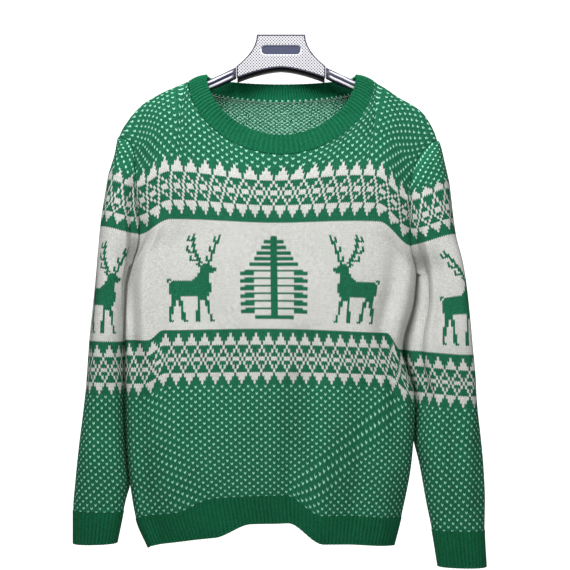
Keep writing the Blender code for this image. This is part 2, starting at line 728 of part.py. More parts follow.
def arm_top(side, out):
    """The height of an arm's upper line, which carries the shoulder's cloth."""
    line = shoulder_point(side, np.linspace(0, 1, SHOULDER_COLUMNS + 1))
    outs = side * line[:, 0]
    steep = np.gradient(line[:, 2], outs)
    under = line[:, 2] - (BODY_WALL + ARM_GAP) * np.hypot(1, steep)
    if out >= ARM_CONTACT_OUT:
        return float(np.interp(out, outs, under))
    contact = np.interp(ARM_CONTACT_OUT, outs, under)
    stations = np.array([ARM_SECTIONS[0][0], ARM_VISIBLE_OUT, ARM_CONTACT_OUT])
    tops = np.array([ARM_ROOT_TOP, ARM_VISIBLE_TOP, contact])
    return float(smooth_line(stations, tops, out))


def arm(side):
    """One arm: oval sections that follow the shoulder line and close at a round end."""
    mesh = bmesh.new()
    rings = []
    for line in ARM_SECTIONS:
        v = dict(zip(ARM_NAMES, line))
        top = arm_top(side, v["out"])
        middle = top - v["height"] / 2
        ring = []
        for k in range(ARM_SIDES):
            angle = 2 * math.pi * k / ARM_SIDES
            y = v["depth"] / 2 * math.cos(angle)
            z = v["height"] / 2 * math.sin(angle)
            ring.append(mesh.verts.new((side * v["out"] * MM, y * MM, (middle + z) * MM)))
        rings.append(ring)
    for low, high in zip(rings[:-1], rings[1:]):
        for k in range(ARM_SIDES):
            after = (k + 1) % ARM_SIDES
            mesh.faces.new([low[k], low[after], high[after], high[k]])
    mesh.faces.new(rings[0][::-1])
    mesh.faces.new(rings[-1])
    return mesh


def main():
    for old in list(bpy.data.objects):
        bpy.data.objects.remove(old, do_unlink=True)
    root = bpy.data.objects.new("sweater_on_hanger", None)
    bpy.context.scene.collection.objects.link(root)

    made = {name: material(name) for name in MATERIALS}
    skin = Skin()
    add_panel(skin, "front")
    add_panel(skin, "back")
    add_sleeve(skin, "sleeve_left", "cuff_left", -1)
    add_sleeve(skin, "sleeve_right", "cuff_right", 1)
    add_neckband(skin)
    normals = skin.normals()
    for name in skin.faces:
        knit = name in ("front", "back", "sleeve_left", "sleeve_right")
        wall = BODY_WALL if knit else RIB_WALL
        cloth = made["jacquard_knit" if knit else "rib_knit"]
        family = "sleeve" if is_sleeve(name) else "body"
        place(shell(skin, normals[family], name, wall), name, cloth, root)
    add_hanger(root, made["plated_shell"], made["black_core"])


main()
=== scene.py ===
import math
import bpy
import numpy as np
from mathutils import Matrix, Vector


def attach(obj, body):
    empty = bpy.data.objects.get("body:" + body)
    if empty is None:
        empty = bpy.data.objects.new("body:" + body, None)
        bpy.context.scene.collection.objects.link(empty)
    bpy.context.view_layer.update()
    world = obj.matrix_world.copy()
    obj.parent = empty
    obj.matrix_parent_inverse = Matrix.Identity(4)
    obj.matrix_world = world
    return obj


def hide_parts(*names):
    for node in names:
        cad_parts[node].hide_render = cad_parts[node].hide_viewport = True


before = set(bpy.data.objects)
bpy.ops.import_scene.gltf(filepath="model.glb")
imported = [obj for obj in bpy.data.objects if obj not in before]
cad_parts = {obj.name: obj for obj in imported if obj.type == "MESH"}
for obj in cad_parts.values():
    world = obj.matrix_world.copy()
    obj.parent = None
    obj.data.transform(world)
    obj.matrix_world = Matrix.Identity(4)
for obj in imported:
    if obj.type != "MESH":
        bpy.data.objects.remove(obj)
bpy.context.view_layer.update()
link = bpy.context.scene.collection.objects.link

# A knitted christmas sweater on its hanger, in millimetres until a mesh is made.
# Heights on the cloth are knitted rows: 0 is the top of the ribs, 67 the underarm, 88 the chest.
mm = 0.001

knit = {
    "rowHeight": 5.3, "coursesPerRow": 2, "vDepth": 0.75,      # vDepth in courses
    "wall": 2.6, "ribWall": 2.8, "ribRelief": 1.2, "waleRelief": 0.5, "seamDip": 0.4,
    "pullBack": 0.15, "innerStep": 4,
    "edgeRow": -9.0, "underarmRow": 67.0, "chestRow": 88.0, "tipRow": 89.0,
    "bodyHalf": 75, "widths": ((46.5, 75), (48.5, 67.5), (77.0, 67.5), (88.0, 60), (97.0, 69)),
    "spreadFrom": 76.0, "spread": 0.12, "centre": -10.0,
    "neckStitches": 0.51, "neckSpread": 0.08, "neckShift": -0.03,
    "cornerReach": 0.09, "cornerFade": 0.25, "cornerSteps": 9, "topSteps": 17, "tipPull": 8,
    "endTaper": 1.6, "dipWide": 1.3, "noEdge": 9.0, "weldsPerMm": 200, "sharpAngle": 62,
    "stitch": 2.93, "tipRows": {-1: 101.6, 1: 106.0},
}

chestRow, tipRows = knit["chestRow"], knit["tipRows"]

bodyNames = ("row", "height", "left", "right", "front", "back", "edge", "sag",
             "bowLeft", "stepLeft", "atLeft", "bowRight", "stepRight", "atRight", "stepWide")
bodyLevels = (
    (-9, -682.5, -187, 159, 48, 44, 0, 0, 25, 15, 0.27, 9, 27, 0.25, 0.26),
    (0, -643.5, -204, 169, 50, 46, 0, 0, 23, 15, 0.50, 9, 26, 0.235, 0.26),
    (17, -565, -216, 184, 52, 47, 0, 0, 16, 12, 0.64, 12, 20, 0.50, 0.24),
    (33, -487, -219, 189, 49, 46, 0, 0, 7, 13, 0.72, 10, 20, 0.80, 0.16),
    (47, -413.5, -219, 171, 46, 45, 0, -2, 0, 14, 0.71, 6, 22, 0.865, 0.10),
    (60, -341, -217, 187, 44, 44, 0, 2, 3, 15, 0.81, 8, 24, 0.86, 0.18),
    (67, -303, -208, 190, 43, 43, 0, 4, 2, 17, 0.84, 6, 27, 0.85, 0.24),
    (75, -259, -198, 182, 42, 41, 17, 6, 1, 20, 0.875, 7, 30, 0.87, 0.24),
    (88, -190, -203.5, 179, 39, 38, 20, 14, 0, 22, 0.87, 12, 29, 0.87, 0.26),
)
bodyShape = {"sagReach": 0.75, "backSag": 0.5, "power": 2.6,
             "foldFade": 0.7, "foldMargin": 0.1, "curveSteps": 241}

foldNames = ("lowRow", "lowAt", "highRow", "highAt", "width", "rise")
bodyFolds = {
    "front": (
        (34, -0.76, 80, -0.87, 0.050, 8.0), (40, -0.85, 78, -0.96, 0.045, -10.0),
        (18, -0.66, 72, -0.68, 0.050, -6.0), (8, -0.90, 44, -0.88, 0.050, 6.0),
        (28, 0.88, 74, 0.89, 0.055, 7.0), (14, 0.78, 72, 0.78, 0.055, -8.0),
        (-16, 0.15, 36, 0.16, 0.085, -13.0), (-16, 0.36, 34, 0.32, 0.100, 8.0),
        (-12, 0.58, 40, 0.56, 0.075, -8.0), (-16, -0.44, 34, -0.40, 0.170, 7.0),
        (-14, -0.80, 34, -0.82, 0.070, -8.0), (-12, -0.64, 36, -0.62, 0.080, 5.0),
        (-14, 0.80, 36, 0.74, 0.080, 6.0),
    ),
    "back": (
        (-16, -0.20, 44, -0.28, 0.100, -11.0), (-16, 0.02, 40, 0.00, 0.120, 7.0),
        (-14, 0.34, 52, 0.40, 0.085, -10.0), (-14, -0.62, 30, -0.66, 0.080, -7.0),
        (20, 0.80, 72, 0.84, 0.060, -7.0), (24, -0.84, 72, -0.84, 0.060, 6.0),
        (64, -0.60, 86, -0.30, 0.110, -5.0), (60, 0.62, 86, 0.34, 0.110, -5.0),
    ),
}

neck = {"middle": 0.5, "half": 130.0, "top": -65.0, "power": 1.9, "round": 0.42,
        "crowding": 1.15, "share": 0.68, "bulge": 7.0, "bulgeWidth": 0.2,
        "front": (105.0, 35.0), "back": (27.0, 27.0)}               # depth, reach
band = {"half": 104.5, "top": -56.0, "front": (87.0, 31.0), "back": (10.5, 21.0),
        "crown": 2.0, "ribs": {"front": 62, "back": 54}, "courses": 12}

shoulder = {
    -1: ((129.5, 65.0), (147.0, 72.5), (165.0, 80.0), (180.0, 88.0), (194.0, 96.5),
         (206.0, 107.5), (216.0, 120.0), (224.5, 133.0), (229.0, 143.0)),
    1: ((130.5, 65.0), (149.5, 76.5), (166.5, 88.0), (184.0, 97.5), (198.5, 107.5),
        (208.0, 120.0), (216.0, 135.0), (220.5, 147.5)),
    "power": 0.36, "bend": {-1: 4.6, 1: 2.2}, "zone": 0.3, "lift": 0.25,
}

sleeveNames = ("row", "outer", "inner", "front", "back", "turn", "tuck", "outerHeight",
               "innerHeight")
sleeveLevels = {
    -1: (
        (-9, 292.5, 231.5, 24, 20, 0, 0, -716, -715), (0, 292.5, 222.5, 27, 23, 0, 0, -669, -670),
        (8, 289.5, 216.0, 32, 30, 0, 8, -630, -631), (17, 285.0, 219.5, 36, 38, 0, 11, -586, -587),
        (33, 275.0, 222.0, 38, 50, 0, 11, -502, -503),
        (47, 270.0, 222.0, 39, 58, 0, 11, -429, -430),
        (60, 262.0, 220.0, 39, 62, 0, 10, -352, -356), (67, 258.0, 213.0, 38, 60, 0, 8, -313, -323),
        (75, 254.0, 198.5, 38, 52, 0, 1, -269, -279), (88, 243.0, 199.0, 36, 40, 0, 0, -198, -210),
        (88.5, 233.5, 207.0, 27, 29, 0, 0, -166, -174),
        (88.8, 231.0, 215.0, 17, 18, 0, 0, -151, -155),
        (88.95, 230.0, 224.0, 9.5, 10, 0, 0, -145.5, -146),
        (89, 230.5, 227.5, 4, 4, 0, 0, -144, -143),
    ),
    1: (
        (-9, 289.0, 221.5, 22, 18, 0, 0, -749, -748), (0, 286.5, 213.0, 25, 22, 0, 0, -697, -696),
        (8, 287.0, 204.5, 29, 28, 0, 0, -655, -654), (17, 284.5, 196.5, 34, 36, 6, 2, -608, -606),
        (25, 280.5, 189.5, 35.5, 42, 16, 4, -565, -562),
        (33, 276.0, 189.5, 37, 48, 22, 5, -522, -518),
        (47, 268.5, 169.5, 38, 54, 34, 0, -448, -443),
        (60, 260.0, 187.0, 39, 56, 26, 5, -362, -372),
        (67, 254.5, 189.5, 38, 54, 22, 5, -324, -336),
        (75, 245.0, 181.5, 38, 50, 6, 1, -280, -294), (88, 237.0, 178.0, 36, 40, 0, 0, -210, -228),
        (88.5, 229.5, 189.0, 27, 29, 0, 0, -176, -189),
        (88.8, 225.0, 205.0, 17, 18, 0, 0, -157, -163),
        (88.95, 222.5, 216.5, 9.5, 10, 0, 0, -150, -152),
        (89, 222.0, 219.0, 4, 4, 0, 0, -149, -148),
    ),
}
sleeveFolds = {
    -1: ((54, -0.84, 86, -0.62, 0.040, 4.0), (52, -0.95, 88, -0.76, 0.070, -7.0),
         (-2, -0.62, 40, -0.58, 0.10, -4.0), (30, -0.30, 66, -0.36, 0.09, -3.5),
         (40, 0.45, 78, 0.40, 0.10, -4.5), (2, 0.30, 44, 0.36, 0.12, -4.0)),
    1: ((36, -0.73, 88, -0.75, 0.040, 4.0), (30, -0.86, 78, -0.90, 0.070, -8.0),
        (-2, -0.50, 44, -0.56, 0.09, -5.0), (2, -0.20, 40, -0.26, 0.08, -3.0),
        (36, 0.40, 76, 0.44, 0.11, -4.5), (0, 0.36, 34, 0.30, 0.10, -4.0)),
}
sleeveShape = {"power": 2.3, "pull": 10, "widest": 0.95, "tuckFrom": 0.1, "tuckOver": 0.6}


def column(table, names, name):
    return np.array([line[names.index(name)] for line in table], dtype=float)


def smoothLine(xs, ys, at):
    # a smooth line through the points that never overshoots them
    steps = np.diff(ys) / np.diff(xs)
    slopes = np.concatenate(([steps[0]], np.zeros(len(xs) - 2), [steps[-1]]))
    same = steps[:-1] * steps[1:] > 0
    both = np.where(same, steps[:-1] + steps[1:], 1.0)
    slopes[1:-1] = np.where(same, 2 * steps[:-1] * steps[1:] / both, 0.0)
    at = np.clip(at, xs[0], xs[-1])
    k = np.clip(np.searchsorted(xs, at) - 1, 0, len(xs) - 2)
    wide = xs[k + 1] - xs[k]
    t = (at - xs[k]) / wide
    rise = ys[k] * (1 + 2 * t) * (1 - t) ** 2 + ys[k + 1] * t ** 2 * (3 - 2 * t)
    return rise + wide * (slopes[k] * t * (1 - t) ** 2 - slopes[k + 1] * t ** 2 * (1 - t))


def level(table, names, row):
    rows = column(table, names, "row")
    return {name: smoothLine(rows, column(table, names, name), row) for name in names[1:]}


def ease(t):
    t = np.clip(t, 0.0, 1.0)
    return t * t * (3 - 2 * t)


def foldRise(folds, row, share):
    total = np.zeros_like(share)
    for fold in folds:
        v = dict(zip(foldNames, fold))
        along = (row - v["lowRow"]) / (v["highRow"] - v["lowRow"])
        if 0.0 < along < 1.0:
            middle = v["lowAt"] + (v["highAt"] - v["lowAt"]) * along
            fade = math.sin(math.pi * along) ** bodyShape["foldFade"]
            total += v["rise"] * fade * np.exp(-((share - middle) / v["width"]) ** 2)
    return total * ease((1 - np.abs(share)) / bodyShape["foldMargin"])


def evenShares(x, y, share):
    # places at shares -1 to 1 of a plan curve's length
    length = np.concatenate(([0.0], np.cumsum(np.hypot(np.diff(x), np.diff(y)))))
    at = (share + 1) / 2 * length[-1]
    return np.interp(at, length, x), np.interp(at, length, y)


def rowHang(v, panel, share):
    # how far a row hangs below its highest point
    wide = np.abs(share)
    left = share < 0
    bow = np.where(left, v["bowLeft"], v["bowRight"]) * wide ** 2
    at = np.where(left, v["atLeft"], v["atRight"])
    step = np.where(left, v["stepLeft"], v["stepRight"])
    sag = v["sag"] * (bodyShape["backSag"] if panel == "back" else 1.0)
    sag = sag * (1 - ease(wide / bodyShape["sagReach"]))
    low = at - v["stepWide"] / 2
    return bow + step * ease((wide - low) / v["stepWide"]) + sag


def panelRow(panel, row, share):
    v = level(bodyLevels, bodyNames, row)
    depth = v[panel]
    power = bodyShape["power"]
    end = math.acos((v["edge"] / depth) ** (power / 2))
    turn = np.linspace(-end, end, bodyShape["curveSteps"])
    reach = np.sign(turn) * np.abs(np.sin(turn)) ** (2 / power)
    half = (v["right"] - v["left"]) / 2
    x = (v["left"] + v["right"]) / 2 + half * reach / reach[-1]
    y = depth * np.cos(turn) ** (2 / power)
    x, y = evenShares(x, y, share)
    y = y + foldRise(bodyFolds[panel], row, share)
    z = v["height"] - rowHang(v, panel, share)
    return np.stack((x, y if panel == "back" else -y, z), axis=-1)


def shoulderPoint(side, share):
    out, down = np.array(shoulder[side], dtype=float).T
    length = np.concatenate(([0.0], np.cumsum(np.hypot(np.diff(out), np.diff(down)))))
    at = np.asarray(share) * length[-1]
    x = side * smoothLine(length, out, at)
    return np.stack((x, np.zeros_like(x), -smoothLine(length, down, at)), axis=-1)


def neckCurve(share, half, top, depth, reach, panel):
    crowded = 1 - (1 - np.abs(share)) ** neck["crowding"]
    across = np.sign(share) * np.sin(crowded * math.pi / 2)
    dip = (1 - np.abs(across) ** neck["power"]) ** (1 / neck["power"])
    y = reach * dip ** neck["round"]
    return np.stack((neck["middle"] + half * across, y if panel == "back" else -y,
                     top - depth * dip), axis=-1)


def panelTop(panel, share):
    inside = np.clip(share / neck["share"], -1, 1)
    points = neckCurve(inside, neck["half"], neck["top"], *neck[panel], panel)
    for side in (-1, 1):
        there = side * share >= neck["share"]
        along = (side * share[there] - neck["share"]) / (1 - neck["share"])
        points[there] = shoulderPoint(side, along)
    return points


def panelYoke(panel, rise, share):
    # above the chest row, rise being 0 there and 1 at the upper edge
    low = panelRow(panel, chestRow, share)
    top = panelTop(panel, share)
    bend = np.where(share < 0, shoulder["bend"][-1], shoulder["bend"][1])
    bend = 1 + (bend - 1) * ease((np.abs(share) - 1 + shoulder["zone"]) / shoulder["zone"])
    points = low + (top - low) * (rise ** bend)[:, None]
    near = np.exp(-((np.abs(share) - neck["share"]) / neck["bulgeWidth"]) ** 2)
    points[:, 0] += 4 * rise * (1 - rise) * neck["bulge"] * near * np.sign(share)
    opened = np.abs(top[:, 1]) / np.abs(low[:, 1]).max()
    power = shoulder["power"] + (1 - shoulder["power"]) * opened
    points[:, 1] = top[:, 1] + (low[:, 1] - top[:, 1]) * (1 - rise) ** power
    lift = 1 - (1 - rise) ** (1 + shoulder["lift"] * (1 - opened))
    points[:, 2] = low[:, 2] + (top[:, 2] - low[:, 2]) * lift
    return points


def armholePoint(panel, side, row):
    edge = np.array([float(side)])
    if row <= chestRow:
        return panelRow(panel, row, edge)[0]
    return panelYoke(panel, np.array([row - chestRow]), edge)[0]


def sleeveRow(side, row, share):
    # round a sleeve: -1 to 0 is its front half and 0 its outer side
    v = level(sleeveLevels[side], sleeveNames, row)
    edge = level(bodyLevels, bodyNames, min(row, chestRow))["edge"]
    if row > chestRow:
        edge = edge * math.sqrt(max(knit["tipRow"] - row, 0.0))
    mean = (v["front"] + v["back"]) / 2
    power = sleeveShape["power"]
    end = math.pi - math.asin(min(edge / mean, sleeveShape["widest"]) ** (power / 2))
    angle = np.linspace(-end, end, bodyShape["curveSteps"])
    across = np.sign(np.cos(angle)) * np.abs(np.cos(angle)) ** (2 / power)
    deep = np.sign(np.sin(angle)) * np.abs(np.sin(angle)) ** (2 / power)
    twist = math.radians(v["turn"])
    x = across * math.cos(twist) - deep * math.sin(twist) * mean / (v["outer"] - v["inner"]) * 2
    x = v["inner"] + (x - x.min()) / (x.max() - x.min()) * (v["outer"] - v["inner"])
    behind = ease((deep - sleeveShape["tuckFrom"]) / sleeveShape["tuckOver"])
    x = x - v["tuck"] * behind * (1 - across) / 2
    y = np.where(deep < 0, deep * v["front"], deep * v["back"])
    share = np.concatenate(([-1.0], share, [1.0]))
    x, y = evenShares(x, y, share)
    bump = foldRise(sleeveFolds[side], row, share)
    outward = np.stack((x - (v["outer"] + v["inner"]) / 2, y), axis=-1)
    outward /= np.linalg.norm(outward, axis=1)[:, None]
    x, y = x + outward[:, 0] * bump, y + outward[:, 1] * bump
    inside = ease((v["outer"] - x) / (v["outer"] - v["inner"]))
    z = v["outerHeight"] + (v["innerHeight"] - v["outerHeight"]) * inside
    points = np.stack((side * x, y, z), axis=-1)
    if row >= knit["tipRow"]:
        points[:] = armholePoint("front", side, row)
    elif row >= knit["underarmRow"]:
        for end, panel in ((0, "front"), (-1, "back")):
            miss = armholePoint(panel, side, row) - points[end]
            near = np.clip(-share if end == 0 else share, 0, 1) ** sleeveShape["pull"]
            points = points + near[:, None] * miss
    return points[1:-1]


# Stitches on the shape: columns are counted from the middle, rows from the ribs.
def bodyHalf(row):
    # stitches from the middle to a panel's side: fewer at the chest, more at the shoulders
    rows, halves = zip(*knit["widths"])
    return float(np.interp(row, rows, halves))


def chestShare(u, row):
    # the pattern is centred a little to one side of the body's middle
    v = level(bodyLevels, bodyNames, row)
    middle, half = (v["left"] + v["right"]) / 2, (v["right"] - v["left"]) / 2
    along = (row - knit["spreadFrom"]) / (chestRow - knit["spreadFrom"])
    shift = (knit["centre"] - middle) / half * (1 - u ** 2)
    return u + knit["spread"] * float(ease(along)) * (u - u ** 3) + shift


def cornerShare(u):
    wide = np.abs(u)
    q = np.clip(wide / knit["neckStitches"], 0, 1)
    reach = q * (1 + knit["neckSpread"] * (1 - q ** 2))
    crowded = 2 / math.pi * np.arcsin(np.clip(reach, 0, 1))
    inner = neck["share"] * (1 - (1 - crowded) ** (1 / neck["crowding"]))
    outer = neck["share"] + (1 - neck["share"]) * (wide - knit["neckStitches"]) / (
        1 - knit["neckStitches"])
    share = np.sign(u) * np.where(wide < knit["neckStitches"], inner, outer)
    return share + knit["neckShift"] * (1 - q ** 2)


def topShare(u):
    # where a stitch column meets the neckline or the shoulder line, evened out at its corner
    reach = knit["cornerReach"] * ease((1 - np.abs(u)) / knit["cornerFade"])
    steps = np.linspace(-1, 1, knit["cornerSteps"])
    return np.mean([cornerShare(u + step * reach) for step in steps], axis=0)


def topRows(panel, u):
    # the row at which the knitting ends at shares u of the width
    lines = []
    for t in np.linspace(0, 1, knit["topSteps"]):
        share = chestShare(u, chestRow) * (1 - t) + topShare(u) * t
        lines.append(panelYoke(panel, np.full(len(u), t), share))
    length = np.linalg.norm(np.diff(np.array(lines), axis=0), axis=2).sum(axis=0)
    rows = chestRow + length / knit["rowHeight"]
    for side, k in ((-1, 0), (1, -1)):
        near = np.clip(side * u, 0, 1) ** knit["tipPull"]
        rows = rows + near * (tipRows[side] - rows[k])
    return rows


def bodyPoints(panel, row, u, topLine):
    if row <= chestRow:
        return panelRow(panel, row, chestShare(u, row))
    tops = np.interp(u, *topLine)
    rise = np.clip((row - chestRow) / (tops - chestRow), 0, 1)
    share = chestShare(u, chestRow) * (1 - rise) + topShare(u) * rise
    return panelYoke(panel, rise, share)


def knitGrid(half, rows, width, place):
    # a grid of points, two columns to a stitch; a wale's middle lies lower, which draws the V
    columns = np.arange(-2 * half, 2 * half + 1) / 2
    middle = columns == np.round(columns)
    drop = knit["vDepth"] / knit["coursesPerRow"]
    points, rowsAt, edges = [], [], []
    for row in rows:
        wide = width(row)
        held = middle | (np.abs(columns) >= wide)
        low = max(row - drop, rows[0])
        line = np.zeros((len(columns), 3))
        u = np.clip(columns / wide, -1, 1)
        line[held] = place(low, u[held])
        line[~held] = place(row, u[~held])
        points.append(line)
        rowsAt.append(np.where(held, low, row))
        edges.append(wide - np.abs(columns))
    return {"points": np.array(points), "columns": np.tile(columns, (len(rows), 1)),
            "rows": np.array(rowsAt), "edge": np.array(edges), "middle": middle}


def panelGrid(panel):
    shares = np.linspace(-1, 1, bodyShape["curveSteps"])
    topLine = (shares, topRows(panel, shares))
    rows = np.arange(0, 2 * math.ceil(topLine[1].max()) + 3) / knit["coursesPerRow"]
    grid = knitGrid(knit["bodyHalf"], rows, bodyHalf,
                    lambda row, u: bodyPoints(panel, row, u, topLine))
    wide = np.array([bodyHalf(row) for row in rows])[:, None]
    u = np.clip(grid["columns"] / wide, -1, 1)
    left = np.interp(u, *topLine) - grid["rows"]      # rows still to knit
    for k in range(len(grid["columns"][0])):          # a column stays where it ends
        ended = np.nonzero(left[:, k] <= 0)[0]
        if len(ended):
            grid["points"][ended[0]:, k] = grid["points"][ended[0], k]
    grid["edge"] = np.minimum(grid["edge"], left * knit["endTaper"])
    grid["flip"] = panel == "back"
    grid["yarn"] = bodyYarn
    return grid


def sleevePlace(side, row):
    # the sleeve table's row for a knitted row
    if row <= chestRow:
        return row
    return chestRow + min((row - chestRow)
                                  / (tipRows[side] - chestRow), 1.0)


def sleeveGrid(side):
    last = tipRows[side]
    probes = np.concatenate((np.arange(0, chestRow, sleeve["probeStep"]),
                             np.linspace(chestRow, last, sleeve["headProbes"])))
    shares = np.linspace(-1, 1, sleeve["roundSteps"])
    widths = []
    for row in probes:
        line = sleeveRow(side, sleevePlace(side, row), shares)
        length = np.linalg.norm(np.diff(line, axis=0), axis=1).sum()
        widths.append(np.clip(length / 2 / knit["stitch"], sleeve["least"], sleeve["half"]))

    def width(row):
        return float(np.interp(row, probes, widths))

    rows = np.append(np.arange(0, int(last * 2) + 1) / knit["coursesPerRow"], last)
    grid = knitGrid(sleeve["half"], rows, width,
                    lambda row, u: sleeveRow(side, sleevePlace(side, row), u))
    grid["points"][-1] = armholePoint("front", side, knit["tipRow"])
    grid["flip"] = side < 0
    grid["yarn"] = lambda stitch, course: sleeveYarn(side, stitch, course)
    grid["edge"] = np.where(grid["rows"] < knit["underarmRow"] - 1, knit["noEdge"],
                            grid["edge"])
    return grid


def ribGrid(half, place, flip, rows=None):
    rows = np.arange(knit["edgeRow"] * 2, 1) / 2 if rows is None else rows
    grid = knitGrid(half, rows, lambda row: half, place)
    u = grid["columns"][0] / half
    grid["points"][-1] = place(rows[-1], u)
    grid["rows"][-1] = rows[-1]
    crest = 0.5 + 0.5 * np.cos(math.pi * grid["columns"])
    grid["relief"] = knit["ribRelief"] * np.sqrt(crest)
    grid["edge"] = np.full(grid["rows"].shape, knit["noEdge"])
    grid["flip"] = flip
    grid["yarn"] = lambda stitch, course: np.zeros(np.shape(stitch), int)
    return grid


# The charts, and which yarn a stitch is knitted in.
border = {"rows": ("0", "01", "012", "3", "2", "1", "023", "1", "2", "3", "012", "01", "0"),
          "repeat": 6, "places": ((66, 26), (153, 29))}    # rows: white stitches from an axis
zones = {"lice": (33, 91), "band": (47, 75), "licePitch": 4}
deer = {"low": 49.0, "left": -45, "right": 26, "chart": """
........#...........#
......#.#.........#.#
......#.##........#.#
......####........###
.........#.........##
.........##........#.
.......#.##......#.#.
.......#..#......#.#.
.......##.##.....###.
........####......##.
...........##.....#..
.........#.##...#.#..
.........#..##..#.#..
.........#####..###..
.............##..#...
............##.###...
.............######..
..............#######
..............#######
..............######.
.............#####...
.............#####...
............######...
##.........#######...
#.################...
.##################..
.##################..
.##################..
.##################..
.##################..
.#################...
..################...
..####.......####....
..####.......####....
..##.##......#..##...
..##.##......#..##...
..##.##......#..##...
.##...#......#...#...
.##...#......#...#...
.##...#.....##...#...
.##...##....##...#...
.#....##....##....#..
.#....##....##....#..
.#....##....##....#..
.##....##...##....##.
""".split()}
tree = {"low": 49.5, "middle": 0, "height": 44, "trunk": 1,
        "upper": {"count": 5, "first": 2, "step": 3, "outer": 4, "grow": 1.5},
        "lower": {"count": 6, "first": 18, "step": 4, "outer": 12, "tip": (9, 14)},
        "foot": (42, 43, 0, 8)}                      # from, to, inner, outer
deerChart = np.array([[mark == "#" for mark in line] for line in deer["chart"]])
sleeve = {"half": 51, "least": 0.4, "deer": {-1: -31, 1: -31}, "cuffHalf": 34,
          "probeStep": 4, "headProbes": 15, "roundSteps": 61}
slots = {"green": 0, "white": 1, "reverse": 2, "fleck": 3}


def fieldYarn(stitch, course):
    # borders, single flecks and the plain white band
    row = course // knit["coursesPerRow"]
    lice = (course % 2 == 0) & ((stitch + 2 * (row % 2)) % zones["licePitch"] == 0)
    low, high = zones["lice"]
    yarn = np.where(((row < low) | (row >= high)) & lice, slots["fleck"], slots["green"])
    yarn = np.where((row >= zones["band"][0]) & (row < zones["band"][1]), slots["white"], yarn)
    away = np.abs(stitch % border["repeat"] - border["repeat"] // 2)
    for start, count in border["places"]:              # first course, how many
        high = len(border["rows"])
        for k in range(count):
            marks = border["rows"][-1 - (k * high + high // 2) // count]
            here = np.isin(away, [int(mark) for mark in marks])
            drawn = np.where(here, slots["white"], slots["green"])
            yarn = np.where(course == start + k, drawn, yarn)
    return yarn


def deerYarn(yarn, stitch, course, left, flip=False):
    high, wide = deerChart.shape
    down = high - 1 - (course - int(deer["low"] * 2))
    across = stitch - left
    if flip:
        across = wide - 1 - across
    inside = (down >= 0) & (down < high) & (across >= 0) & (across < wide)
    drawn = deerChart[np.clip(down, 0, high - 1), np.clip(across, 0, wide - 1)]
    return np.where(inside & drawn, slots["green"], yarn)


def treeBars():
    # even branches: short thick ones above, long thin ones with thick tips below
    upper, lower = tree["upper"], tree["lower"]
    bars = [tree["foot"]]
    for k in range(upper["count"]):
        at = upper["first"] + k * upper["step"]
        bars.append((at, at + 1, 0, upper["outer"] + int(k * upper["grow"])))
    for k in range(lower["count"]):
        at = lower["first"] + k * lower["step"]
        bars += [(at, at, 0, lower["outer"]), (at + 1, at + 2, *lower["tip"])]
    return bars


def treeYarn(yarn, stitch, course):
    down = tree["height"] - 1 - (course - int(tree["low"] * 2))
    away = np.abs(stitch - tree["middle"])
    drawn = (down >= 0) & (down < tree["height"]) & (away <= tree["trunk"])
    for first, last, inner, outer in treeBars():
        drawn |= (down >= first) & (down <= last) & (away >= inner) & (away <= outer)
    return np.where(drawn, slots["green"], yarn)


def bodyYarn(stitch, course):
    yarn = fieldYarn(stitch, course)
    yarn = deerYarn(yarn, stitch, course, deer["left"])
    yarn = deerYarn(yarn, stitch, course, deer["right"], flip=True)
    return treeYarn(yarn, stitch, course)


def sleeveYarn(side, stitch, course):
    return deerYarn(fieldYarn(stitch, course), stitch, course, sleeve["deer"][side], side < 0)


# Grids become closed shells with an outer and an inner side.

def faceLoops(grid):
    # corner numbers (row, column) of every face, going up, facing outwards
    high, wide = grid["rows"].shape
    i, k = np.meshgrid(np.arange(high - 1), np.arange(wide - 1), indexing="ij")
    i, k = i.ravel(), k.ravel()
    rows = np.stack((i, i, i + 1, i + 1), axis=1)
    columns = np.stack((k, k + 1, k + 1, k), axis=1)
    if grid["flip"]:
        rows, columns = rows[:, ::-1], columns[:, ::-1]
    return rows, columns


def weldGrids(grids):
    # one numbering for every grid of a piece, equal places sharing a number
    flat = np.concatenate([grid["points"].reshape(-1, 3) for grid in grids])
    keys = np.round(flat * knit["weldsPerMm"]).astype(np.int64)
    _, first, numbers = np.unique(keys, axis=0, return_index=True, return_inverse=True)
    numbers = numbers.ravel()
    start = 0
    for grid in grids:
        count = grid["rows"].size
        grid["ids"] = numbers[start:start + count].reshape(grid["rows"].shape)
        start += count
    return flat[first], keys[first]


def cleanRing(ring):
    # drops repeated corners and spurs; a corner is (number, column, row)
    changed = True
    while changed and len(ring) > 2:
        changed = False
        for k in range(len(ring)):
            if ring[k][0] == ring[k - 1][0]:
                del ring[k]
                changed = True
                break
            if ring[k - 1][0] == ring[(k + 1) % len(ring)][0]:
                for gone in sorted((k, (k + 1) % len(ring)), reverse=True):
                    del ring[gone]
                changed = True
                break
    return ring if len(ring) > 2 else []


